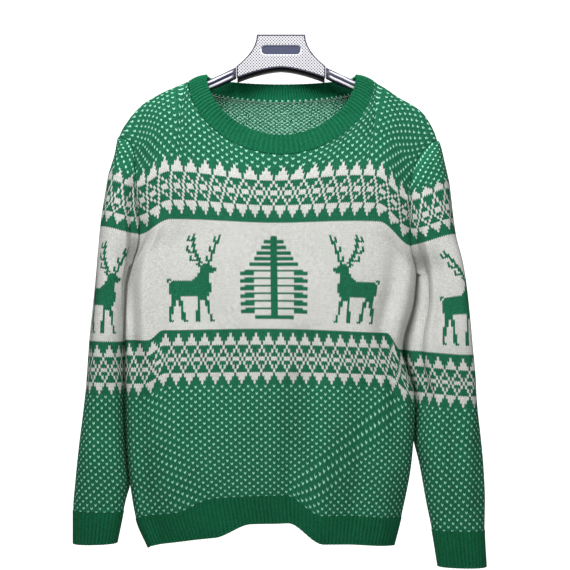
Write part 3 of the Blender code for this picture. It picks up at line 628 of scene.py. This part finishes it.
def pieceData(name, grids, wall):
    points, keys = weldGrids(grids)
    faces, corners, yarns, sheets = [], [], [], []
    for number, grid in enumerate(grids):
        rows, columns = faceLoops(grid)
        ids = grid["ids"][rows, columns]
        at = np.stack((grid["columns"][rows, columns], grid["rows"][rows, columns] * 2), axis=-1)
        stitch = np.floor(at[:, :, 0].mean(axis=1) + 0.5).astype(int)
        course = rows.min(axis=1) + int(round(grid["rows"][0].min() * 2))
        yarn = grid["yarn"](stitch, course)
        same = ids == np.roll(ids, 1, axis=1)
        good = ~same.any(axis=1) & (ids[:, 0] != ids[:, 2]) & (ids[:, 1] != ids[:, 3])
        faces += ids[good].tolist()
        corners += at[good].tolist()
        yarns += yarn[good].tolist()
        sheets += [number] * int(good.sum())
        for n in np.nonzero(~good)[0]:                     # faces with fewer corners
            keep = [c for c in range(4) if not same[n, c]]
            if len(set(ids[n, keep].tolist())) > 2:
                faces.append(ids[n, keep].tolist())
                corners.append(at[n, keep].tolist())
                yarns.append(int(yarn[n]))
                sheets.append(number)
    return {"name": name, "grids": grids, "wall": wall, "points": points, "keys": keys,
            "faces": faces, "corners": corners, "yarns": yarns, "sheets": sheets}


def asQuads(faces):
    return np.array([ring if len(ring) == 4 else ring + ring[-1:] for ring in faces])


def faceSums(piece):
    # the sum of the face normals at every point
    total = np.zeros_like(piece["points"])
    quads = asQuads(piece["faces"])
    p = piece["points"][quads]
    normal = np.cross(p[:, 2] - p[:, 0], p[:, 3] - p[:, 1])
    for c in range(4):
        np.add.at(total, quads[:, c], normal)
    return total


def unitRows(vectors):
    return vectors / np.maximum(np.linalg.norm(vectors, axis=1), 1e-9)[:, None]


def shareNormals(pieces):
    # pieces that meet at a seam share its normals
    sums = [unitRows(faceSums(piece)) for piece in pieces]
    keys = np.concatenate([piece["keys"] for piece in pieces])
    _, numbers = np.unique(keys, axis=0, return_inverse=True)
    numbers = numbers.ravel()
    total = np.zeros((numbers.max() + 1, 3))
    np.add.at(total, numbers, np.concatenate(sums))
    joined = total[numbers]
    weak = np.linalg.norm(joined, axis=1) < 0.5
    own = np.concatenate(sums)
    joined[weak] = own[weak]
    joined = unitRows(joined)
    start = 0
    for piece in pieces:
        piece["normals"] = joined[start:start + len(piece["points"])]
        start += len(piece["points"])


def openEdges(piece):
    edges = dict.fromkeys((a, b) for ring in piece["faces"]
                          for a, b in zip(ring, ring[1:] + ring[:1]))
    return [(a, b) for a, b in edges if (b, a) not in edges]


def innerRings(grid, step, onEdge, edgeSet):
    # coarse faces of the inner side, with every point kept along open edges
    high, wide = grid["rows"].shape
    rowStops = list(range(0, high - 1, step)) + [high - 1]
    columnStops = list(range(0, wide - 1, step)) + [wide - 1]
    rings = []
    for i0, i1 in zip(rowStops[:-1], rowStops[1:]):
        for k0, k1 in zip(columnStops[:-1], columnStops[1:]):
            walk = [(i0, k) for k in range(k0, k1)] + [(i, k1) for i in range(i0, i1)]
            walk += [(i1, k) for k in range(k1, k0, -1)] + [(i, k0) for i in range(i1, i0, -1)]
            stops = {(i0, k0), (i0, k1), (i1, k0), (i1, k1)}
            ids = [int(grid["ids"][at]) for at in walk]
            ring = []
            for n, at in enumerate(walk):
                before, after = ids[n - 1], ids[(n + 1) % len(ids)]
                edge = onEdge[ids[n]] and any(
                    frozenset((ids[n], other)) in edgeSet for other in (before, after))
                if at in stops or edge:
                    ring.append((ids[n], grid["columns"][at], grid["rows"][at] * 2))
            ring = cleanRing(ring)
            if ring:
                rings.append(ring if grid["flip"] else ring[::-1])
    return rings


bakeMap = {"outer": (0.005, 0.675), "inner": (0.69, 0.30), "high": 0.96, "all": 0.97,
           "margin": 0.005, "rim": (0.98, 0.995)}


def bakeFrame(piece, number, inner):
    # scale and start of a grid on the baking map: outer side at the left, inner at the right
    grid = piece["grids"][number]
    count = len(piece["grids"])
    start, wide = bakeMap["inner" if inner else "outer"]
    columns, rows = grid["columns"], grid["rows"] * 2
    low = np.array([columns.min(), rows.min()])
    size = np.array([columns.max(), rows.max()]) - low
    scale = np.array([wide, bakeMap["high"] / count]) / size
    up = (number + bakeMap["margin"]) / count * bakeMap["all"]
    return scale, np.array([start, up]) - low * scale


def makePiece(piece, materials):
    points, normals = piece["points"], piece["normals"]
    count = len(points)
    edges = openEdges(piece)
    edgeSet = {frozenset(edge) for edge in edges}
    onEdge = np.zeros(count, bool)
    onEdge[[n for edge in edges for n in edge]] = True
    pull = np.zeros_like(points)
    lift = np.zeros(count)
    for grid in piece["grids"]:
        dip = np.clip(1 - grid["edge"] / knit["dipWide"], 0, 1)
        relief = grid.get("relief", knit["waleRelief"] * grid["middle"][None, :])
        lift[grid["ids"]] = relief * (1 - dip) - knit["seamDip"] * dip
    quads = asQuads(piece["faces"])
    for c in range(4):
        for a, b in ((quads[:, c], quads[:, (c + 1) % 4]), (quads[:, (c + 1) % 4], quads[:, c])):
            there = onEdge[a] & ~onEdge[b]
            np.add.at(pull, a[there], unitRows(points[b[there]] - points[a[there]]))
    base = points + unitRows(pull) * knit["pullBack"] * onEdge[:, None]
    outer = base + normals * lift[:, None]
    inner = base - normals * piece["wall"]
    faces, uvs, yarns = list(piece["faces"]), list(piece["corners"]), list(piece["yarns"])
    frames = [bakeFrame(piece, number, False) for number in range(len(piece["grids"]))]
    baked = []
    for number, corners in zip(piece["sheets"], piece["corners"]):
        (wide, high), (right, up) = frames[number]
        baked.append([(across * wide + right, along * high + up) for across, along in corners])
    for number, grid in enumerate(piece["grids"]):
        (wide, high), (right, up) = bakeFrame(piece, number, True)
        for ring in innerRings(grid, knit["innerStep"], onEdge, edgeSet):
            faces.append([n + count for n, _, _ in ring])
            uvs.append([(across, along) for _, across, along in ring])
            baked.append([(across * wide + right, along * high + up)
                          for across, along in uvs[-1]])
            yarns.append(slots["reverse"])
    for k, (a, b) in enumerate(edges):
        faces.append([b, a, a + count, b + count])
        uvs.append([(0.5, 0.5)] * 4)
        low, high = (0.005 + 0.99 * n / len(edges) for n in (k, k + 1))
        under, over = bakeMap["rim"]
        baked.append([(high, under), (low, under), (low, over), (high, over)])
        yarns.append(slots["green"])
    used = sorted({n for face in faces for n in face})
    new = {n: k for k, n in enumerate(used)}
    places = np.concatenate((outer, inner))[used] * mm
    mesh = bpy.data.meshes.new(piece["name"])
    mesh.from_pydata(places.tolist(), [], [[new[n] for n in face] for face in faces])
    mesh.polygons.foreach_set("material_index", yarns)
    for name, maps in (("stitches", uvs), ("OFBake", baked)):
        layer = mesh.uv_layers.new(name=name)
        layer.data.foreach_set("uv", [value for face in maps for at in face for value in at])
    for material in materials:
        mesh.materials.append(material)
    mesh.shade_smooth()
    mesh.set_sharp_from_angle(angle=math.radians(knit["sharpAngle"]))
    made = bpy.data.objects.new(piece["name"], mesh)
    link(made)
    print(piece["name"], "triangles", sum(len(face) - 2 for face in faces))
    return made


class Value:
    # a socket that takes part in Python expressions
    def __init__(self, maker, socket):
        self.maker = maker
        self.socket = socket

    def math(self, operation, other=None):
        values = {0: self} if other is None else {0: self, 1: other}
        return self.maker.node("ShaderNodeMath", {"operation": operation}, values)

    def __add__(self, other): return self.math("ADD", other)
    __radd__ = __add__
    def __mul__(self, other): return self.math("MULTIPLY", other)
    __rmul__ = __mul__
    def __sub__(self, other): return self.math("SUBTRACT", other)
    def __rsub__(self, other): return self.maker.node(
        "ShaderNodeMath", {"operation": "SUBTRACT"}, {0: other, 1: self})
    def __truediv__(self, other): return self.math("DIVIDE", other)
    def __pow__(self, other): return self.math("POWER", other)
    def __abs__(self): return self.math("ABSOLUTE")
    def __gt__(self, other): return self.math("GREATER_THAN", other)
    def __lt__(self, other): return self.math("LESS_THAN", other)
    def sin(self): return self.math("SINE")
    def fract(self): return self.math("FRACT")
    def least(self, other): return self.math("MINIMUM", other)
    def most(self, other): return self.math("MAXIMUM", other)


class Finish:
    # one material; every node but the maths comes from node()
    def __init__(self, name, roughness, metallic=0.0, **constants):
        self.material = bpy.data.materials.new(name)
        self.material.use_nodes = True
        self.tree = self.material.node_tree
        self.shader = self.tree.nodes["Principled BSDF"]
        self.shader.inputs["Roughness"].default_value = roughness
        self.shader.inputs["Metallic"].default_value = metallic
        for socket, value in constants.items():
            self.shader.inputs[socket.replace("_", " ")].default_value = value

    def node(self, kind, settings=None, values=None, output=0):
        made = self.tree.nodes.new(kind)
        for key, value in (settings or {}).items():
            if key == "stops":
                ramp = made.color_ramp
                while len(ramp.elements) < len(value):
                    ramp.elements.new(0.5)
                for element, (at, colour) in zip(ramp.elements, value):
                    element.position = at
                    element.color = (*colour, 1.0)
            else:
                setattr(made, key, value)
        for key, value in (values or {}).items():
            if isinstance(value, Value):
                self.tree.links.new(value.socket, made.inputs[key])
            else:
                made.inputs[key].default_value = value
        return Value(self, made.outputs[output])

    def feed(self, socket, value):
        self.tree.links.new(value.socket, self.shader.inputs[socket])

    def mix(self, factor, first, second):
        first, second = (colour if isinstance(colour, Value) else (*colour, 1.0)
                         for colour in (first, second))
        return self.node("ShaderNodeMix", {"data_type": "RGBA", "clamp_factor": True},
                         {0: factor, 6: first, 7: second}, output=2)

    def stitchPlace(self):
        uv = self.node("ShaderNodeUVMap", {"uv_map": "stitches"})
        parts = self.node("ShaderNodeSeparateXYZ", None, {0: uv})
        return parts, Value(self, parts.socket.node.outputs[1])

    def objectPlace(self):
        return self.node("ShaderNodeTexCoord", output=3)

    def noise(self, scale, detail):
        return self.node("ShaderNodeTexNoise", None, {
            "Vector": self.objectPlace(), "Scale": scale, "Detail": detail})

    def bump(self, height, strength, distance, below=None):
        values = {"Height": height, "Strength": strength, "Distance": distance}
        if below:
            values["Normal"] = below
        return self.node("ShaderNodeBump", None, values)


def loopHeight(finish, across, along):
    # one V to a stitch: two rounded legs that rise from the middle of the wale
    side = abs((across + 0.5).fract() - 0.5) * 2
    phase = (along + (1 - side) * knit["vDepth"]).fract()
    legs = (side * math.pi).sin().most(0.0)
    length = (phase * math.pi).sin().most(0.0)
    return (legs * 0.6 + 0.4) * length ** 0.6


# every yarn is mixed between its dark and light colour: random mottle, plus painted shade in the
# dips of the knit
wool = {
    "greenYarn": {"light": (0.019, 0.195, 0.098), "dark": (0.003, 0.048, 0.022)},
    "whiteYarn": {"light": (0.76, 0.76, 0.73), "dark": (0.36, 0.37, 0.35)},
    "fleckYarn": {"light": (0.46, 0.86, 0.67), "dark": (0.17, 0.42, 0.30)},
    "ribYarn": {"light": (0.008, 0.160, 0.066), "dark": (0.002, 0.048, 0.019)},
    # painted light: the rib yarn made lighter for the neckband, which hangs highest
    "litNeckRibYarn": {"light": (0.010, 0.190, 0.082), "dark": (0.002, 0.058, 0.023)},
    # painted light: the rib green made lighter for the shaded inner side of the neckband
    "litReverseRibYarn": {"light": (0.014, 0.250, 0.110), "dark": (0.004, 0.090, 0.040)},
    "bump": 0.8, "depth": 0.0008, "fibre": 2600.0, "fibreDepth": 0.00012,
    "patches": 18.0, "mottle": 430.0, "roughness": 0.95, "specular": 0.12,
}


def yarnBase(name):
    return Finish(name, wool["roughness"], Specular_IOR_Level=wool["specular"])


# random tone from fibres, patches and mottle, plus painted shade: the lower parts of the knit take
# the dark colour
def yarnToneAndShade(finish, height):
    fibre = finish.noise(wool["fibre"], 3.0)
    patch = finish.noise(wool["patches"], 2.0)
    mottle = finish.noise(wool["mottle"], 2.0)
    return fibre, height * 0.7 + fibre * 0.3 + (patch - 0.5) * 0.25 + (mottle - 0.5) * 1.1


def yarnFinish(name):
    colours = wool[name]
    finish = yarnBase(name)
    across, along = finish.stitchPlace()
    height = loopHeight(finish, across, along)
    ribs = height
    if name in ("ribYarn", "litNeckRibYarn"):
        ribs = height * 0.4 + abs((across * 0.5).fract() - 0.5) * 0.9
    # painted shade: the dips between loops, and on ribs the valleys, are coloured darker
    fibre, toneAndShade = yarnToneAndShade(finish, ribs)
    finish.feed("Base Color", finish.mix(toneAndShade, colours["dark"], colours["light"]))
    finish.feed("Roughness", 0.86 + fibre * 0.12)
    fine = finish.bump(fibre, 0.5, wool["fibreDepth"])
    finish.feed("Normal", finish.bump(height, wool["bump"], wool["depth"], fine))
    return finish.material


def ribReverseFinish(name):
    # the inner side of the ribs, with the light linking stitches beside the seam; its green is
    # painted lighter against the shade inside the band, and its rib valleys take painted shade
    colours, light = wool["litReverseRibYarn"], wool["fleckYarn"]["light"]
    finish = yarnBase(name)
    across, along = finish.stitchPlace()
    ribs = abs(across.fract() - 0.5) * 2
    fibre, toneAndShade = yarnToneAndShade(finish, ribs)
    linked = (along < 1.35) * (along > 0.45) * ((across * 0.5).fract() < 0.32)
    cloth = finish.mix(toneAndShade, colours["dark"], colours["light"])
    finish.feed("Base Color", finish.mix(linked, cloth, light))
    finish.feed("Normal", finish.bump(ribs + linked * 0.5, 0.7, 0.0012))
    return finish.material


def birdseyeFinish(name, first, second):
    # the reverse of the knit: both yarns in a fine uneven check of floats, with painted shade: the
    # float edges darker and the second yarn kept toward its dark colour
    finish = yarnBase(name)
    across, along = finish.stitchPlace()
    cell = (across * math.pi).sin() * ((along + 0.5) * math.pi).sin()
    uneven = finish.noise(760.0, 3.0)
    spot = abs(cell)
    firstYarnShaded = finish.mix(spot * 0.6 + uneven * 0.4, first["dark"], first["light"])
    other = finish.mix(spot * 0.3 + uneven * 0.5, second["dark"], second["light"])
    finish.feed("Base Color", finish.mix(cell + (uneven - 0.5) * 7.0 > -0.25, other, firstYarnShaded))
    finish.feed("Normal", finish.bump(spot + uneven, 0.7, 0.0008))
    return finish.material


hanger = {
    "plate": (0.75, 0.75, 0.79), "edge": (0.055, 0.055, 0.085), "dot": (0.012, 0.012, 0.018),
    "shade": (0.22, 0.22, 0.27), "recess": (0.050, 0.058, 0.110), "bevelHighlight": (0.95, 0.95, 0.97),
    "face": -0.0088, "sideDrop": 0.0445, "topHalf": 0.034, "spread": 0.0285, "middle": 0.046,
    "waist": 0.015, "archPower": 1.6, "dotPitch": 0.0043, "dotSize": 0.29,
    "rim": 0.0019, "bevelWide": 0.0014, "core": (0.004, 0.004, 0.005),
    "recessMiddle": -0.02175, "recessHalf": 0.0275, "recessRound": 0.00625,
    "armTop": 0.0445, "armSlope": 0.458, "armWide": 0.0165, "armRoot": 0.0625,
    "rootWide": 0.008, "rootFade": 250,
    # painted reflections across an arm, from its top edge down
    "reflectionStripes": ((0.0, 0.02, 0.04), (0.12, 0.05, 0.08), (0.17, 0.8, 0.85), (0.26, 0.7, 0.78),
                (0.33, 0.02, 0.05), (0.56, 0.02, 0.05), (0.62, 0.95, 0.97), (0.74, 0.90, 0.95),
                (0.80, 0.05, 0.09), (1.0, 0.01, 0.02)),      # place, grey, blue
}


def splitPlace(finish):
    place = finish.node("ShaderNodeSeparateXYZ", None, {0: finish.objectPlace()})
    return (Value(finish, output) for output in place.socket.node.outputs)


def plateFinish(name):
    # a plated face with fine dots, a dark outline and a dark recess, ringed by a bevel with a
    # painted highlight and painted shade on its upper arc
    finish = Finish(name, 0.3, 0.25)
    x, y, z = splitPlace(finish)
    wide = abs(x)
    face = y < hanger["face"]
    pitch = hanger["dotPitch"]
    u = ((x + z) / pitch).fract() - 0.5
    v = ((x - z) / pitch).fract() - 0.5
    dot = ((u * u + v * v) ** 0.5 < hanger["dotSize"]) * face
    down = (z * (-1 / hanger["sideDrop"])).least(1.0)
    bow = (wide / hanger["armRoot"]) ** hanger["archPower"]
    arch = hanger["middle"] + bow * hanger["waist"]
    rim = hanger["rim"]
    outline = down * down * hanger["spread"] + (hanger["topHalf"] - rim)
    edge = (wide > outline).most(z > -rim).most(z + arch < rim).most(1 - face)
    rounded = hanger["recessRound"]
    beside = (wide - (hanger["recessHalf"] - rounded)).most(0.0)
    above = z - hanger["recessMiddle"]
    away = (beside * beside + above * above) ** 0.5
    ring = away < rounded + hanger["bevelWide"]
    floor = away < rounded
    grain = finish.noise(900.0, 2.0)
    colour = finish.mix(dot, finish.mix(grain * 0.25, hanger["plate"], (0.5, 0.5, 0.55)),
                        hanger["dot"])
    colour = finish.mix(edge, colour, hanger["edge"])
    # painted highlight on the bevel ring, then painted shade on its upper arc
    colour = finish.mix(ring, colour, hanger["bevelHighlight"])
    colour = finish.mix(ring * (above > 0.002), colour, hanger["shade"])
    finish.feed("Base Color", finish.mix(floor, colour, hanger["recess"]))
    finish.feed("Roughness", 0.25 + dot * 0.3 + floor * 0.2)
    finish.feed("Normal", finish.bump(1 - dot, 0.4, 0.0003))
    return finish.material


def chromeFinish(name):
    # bright arms: painted reflections of the room, as stripes that run along them, dark at the root
    finish = Finish(name, 0.14, 0.1, Specular_IOR_Level=0.3)
    x, y, z = splitPlace(finish)
    wide = abs(x)
    waves = finish.noise(60.0, 2.0)
    below = (-1) * z - hanger["armTop"] - (wide - hanger["armRoot"]) * hanger[
        "armSlope"] + (waves - 0.5) * 0.003
    stops = [(at, (grey, grey, blue)) for at, grey, blue in hanger["reflectionStripes"]]
    reflectionStripes = finish.node("ShaderNodeValToRGB", {"stops": stops},
                          {0: below / hanger["armWide"]})
    root = (hanger["armRoot"] + hanger["rootWide"] - wide) * hanger["rootFade"]
    finish.feed("Base Color", finish.mix(root, reflectionStripes, hanger["edge"]))
    finish.feed("Roughness", 0.08 + waves * 0.1)
    return finish.material


def coreFinish(name):
    finish = Finish(name, 0.5, Specular_IOR_Level=0.2)
    grain = finish.noise(900.0, 3.0)
    finish.feed("Base Color", finish.mix(grain, hanger["core"], (0.012, 0.012, 0.014)))
    finish.feed("Roughness", 0.4 + grain * 0.2)
    finish.feed("Normal", finish.bump(grain, 0.15, 0.0002))
    return finish.material


clothNames = ("node", "slot", "flat", "area")      # area: only where the flat piece tapers
clothPieces = {
    "sweaterFront": ("front", "jacquard_knit", (0.46, 0.60)),
    "sweaterBack": ("back", "jacquard_knit", (0.46, 0.62)),
    "sleeveLeft": ("sleeve_left", "jacquard_knit", (0.28, 0.54), 0.118),
    "sleeveRight": ("sleeve_right", "jacquard_knit", (0.28, 0.56), 0.124),
    "neckRib": ("neckband", "rib_knit", (0.60, 0.031)),
    "hemRibFront": ("hem_rib_front", "rib_knit", (0.44, 0.048)),
    "hemRibBack": ("hem_rib_back", "rib_knit", (0.44, 0.048)),
    "cuffLeft": ("cuff_left", "rib_knit", (0.20, 0.048)),
    "cuffRight": ("cuff_right", "rib_knit", (0.20, 0.048)),
}


def neckPlace(panel, row, share):
    rise = row / (band["courses"] / 2)
    low = neckCurve(share, neck["half"], neck["top"], *neck[panel], panel)
    high = neckCurve(share, band["half"], band["top"], *band[panel], panel)
    points = low + (high - low) * rise
    points[:, 2] += band["crown"] * math.sin(math.pi * rise)
    return points


def clothGrids():
    grids = {"sweaterFront": [panelGrid("front")], "sweaterBack": [panelGrid("back")]}
    print("panels laid out")
    grids["sleeveLeft"] = [sleeveGrid(-1)]
    grids["sleeveRight"] = [sleeveGrid(1)]
    print("sleeves laid out")
    half = knit["bodyHalf"]
    for name, panel in (("hemRibFront", "front"), ("hemRibBack", "back")):
        grids[name] = [ribGrid(half, lambda row, u, p=panel: panelRow(p, row, u),
                               panel == "back")]
    for name, side in (("cuffLeft", -1), ("cuffRight", 1)):
        grids[name] = [ribGrid(sleeve["cuffHalf"],
                               lambda row, u, s=side: sleeveRow(s, row, u), side < 0)]
    bandRows = np.arange(0, band["courses"] + 1) / 2
    grids["neckRib"] = [
        ribGrid(band["ribs"][panel], lambda row, u, p=panel: neckPlace(p, row, u),
                panel == "back", bandRows) for panel in ("front", "back")]
    return grids


green = yarnFinish("greenYarn")
white = yarnFinish("whiteYarn")
rib = yarnFinish("ribYarn")
reverse = birdseyeFinish("reverseFloats", wool["greenYarn"], wool["fleckYarn"])
fleck = yarnFinish("fleckYarn")
ribReverse = ribReverseFinish("ribReverse")
# painted light: the lighter copy of the rib yarn for the neckband
litNeckRibFinish = yarnFinish("litNeckRibYarn")

grids = clothGrids()
data = [pieceData(name, grids[name], knit["ribWall" if "rib_knit" in facts else "wall"])
        for name, facts in clothPieces.items()]
shareNormals(data)
for piece in data:
    facts = dict(zip(clothNames, clothPieces[piece["name"]]))
    ribbed = facts["slot"] == "rib_knit"
    ribs = (litNeckRibFinish, litNeckRibFinish, ribReverse) if piece["name"] == "neckRib" else (rib,) * 3
    made = makePiece(piece, ribs if ribbed else (green, white, reverse, fleck))
    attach(made, "root")
    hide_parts(facts["node"])
print("cloth made")

finishes = {"hanger_plate": plateFinish("dottedPlating"),
            "hanger_core": coreFinish("blackCore"),
            "hanger_arm_left": chromeFinish("brightPlating")}
finishes["hanger_arm_right"] = finishes["hanger_arm_left"]
for name, material in finishes.items():
    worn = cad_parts[name].data.materials
    worn.clear()
    worn.append(material)
print("hanger finished")

studio = {"distance": 2.4, "across": 0.0056, "height": -0.352, "wide": 0.804,
          "floor": -1.35, "floorHalf": 1.1, "world": 0.22, "backdrop": 6.0,
          "backdropHalf": 3.0, "sensor": 36.0, "paint": (0.92, 0.92, 0.92, 1),
          "lights": (("keyLight", (-0.3, -1.1, 1.1), 0.9, 49.0),      # place, size, power
                     ("fillLight", (0.9, -1.6, 0.9), 1.0, 12.0),
                     ("backLight", (0.4, 1.8, 0.9), 1.4, 22.0)),
          "aim": (0.0, 0.0, -0.35)}


def addStudio():
    lens = bpy.data.cameras.new("camera")
    lens.sensor_width = studio["sensor"]
    lens.lens = studio["sensor"] * studio["distance"] / studio["wide"]
    lens.clip_end = 50.0
    camera = bpy.data.objects.new("camera", lens)
    camera.location = (studio["across"], -studio["distance"], studio["height"])
    camera.rotation_euler = (math.pi / 2, 0.0, 0.0)
    link(camera)
    bpy.context.scene.camera = camera

    world = bpy.data.worlds.new("studio")
    world.use_nodes = True
    sky = world.node_tree.nodes["Background"].inputs
    sky["Color"].default_value = (1, 1, 1, 1)
    sky["Strength"].default_value = studio["world"]
    bpy.context.scene.world = world

    for name, place, size, power in studio["lights"]:
        area = bpy.data.lights.new(name, "AREA")
        area.shape = "SQUARE"
        area.size = size
        area.energy = power
        lamp = bpy.data.objects.new(name, area)
        lamp.location = place
        aim = Vector(studio["aim"]) - lamp.location
        lamp.rotation_euler = aim.to_track_quat("-Z", "Y").to_euler()
        link(lamp)

    for name, place, half, tilt in (
            ("floor", (0, 0, studio["floor"]), studio["floorHalf"], 0.0),
            ("backdrop", (0, studio["backdrop"], studio["height"]), studio["backdropHalf"],
             math.pi / 2)):
        mesh = bpy.data.meshes.new(name)
        mesh.from_pydata([(-half, -half, 0), (half, -half, 0), (half, half, 0),
                          (-half, half, 0)], [], [(0, 1, 2, 3)])
        plane = bpy.data.objects.new(name, mesh)
        plane.location = place
        plane.rotation_euler = (tilt, 0.0, 0.0)
        paint = Finish("pale" + name, 0.9)
        sockets = paint.shader.inputs
        sockets["Base Color"].default_value = studio["paint"]
        if name == "backdrop":
            sockets["Emission Color"].default_value = (1, 1, 1, 1)
            sockets["Emission Strength"].default_value = 1.0
        mesh.materials.append(paint.material)
        link(plane)
    bpy.context.scene.view_settings.view_transform = "Standard"


addStudio()
print("studio ready")
